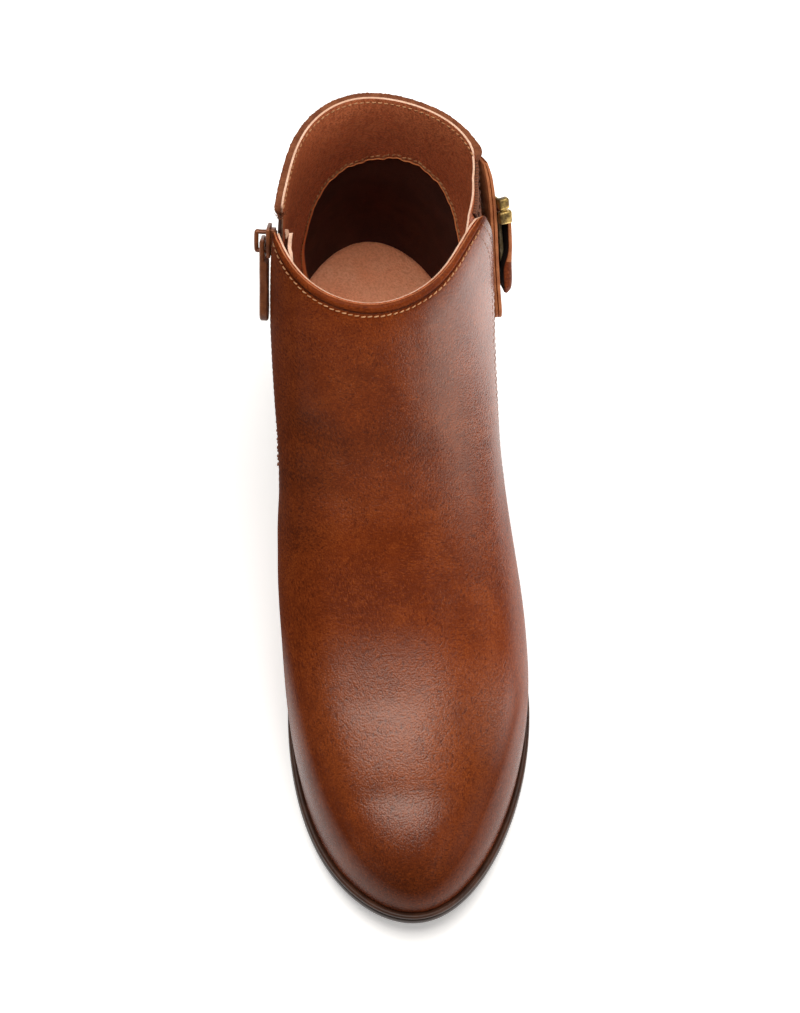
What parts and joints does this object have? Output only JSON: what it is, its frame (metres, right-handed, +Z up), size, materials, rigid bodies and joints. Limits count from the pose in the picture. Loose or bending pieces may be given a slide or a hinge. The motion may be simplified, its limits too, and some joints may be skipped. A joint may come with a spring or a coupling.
{
  "type": "ankle boot",
  "caption": "Flat left ankle boot: lasted leather upper on a thin welted sole with a low heel, elastic gore and buckled strap outside, zip with a swinging pull inside.",
  "frame": {"origin": "on the floor under the middle of the boot's box", "axes": "+X the outer side of the left foot, +Y from the toe to the heel, +Z up from the floor"},
  "size_m": [0.0912, 0.2658, 0.1461],
  "materials": {
    "leather": "satin, fine pebble grain",
    "lining": "matt",
    "sole": "semi-gloss edge",
    "welt": "satin",
    "elastic": "ribbed weave",
    "zip": "brown paint",
    "brass": "antique"
  },
  "bodies": {
    "boot": {"upper": "leather", "outsole": "sole", "welt": "welt", "heel": "sole", "insole": "lining", "gore": "elastic", "zip_tape": "elastic", "zip_chain": "zip", "zip_slider": "zip", "strap": "leather", "strap_end": "leather", "buckle": "brass", "buckle_prong": "brass"},
    "zip_pull": {"zip_pull": "zip"}
  },
  "joints": [
    {"name": "zip_pull_hinge", "type": "hinge", "parent": "boot", "child": "zip_pull", "pos_m": [-0.04247, 0.07793, 0.12248], "axis": [0.1426, 0.7808, -0.6083], "range_deg": [0, 160]}
  ]
}
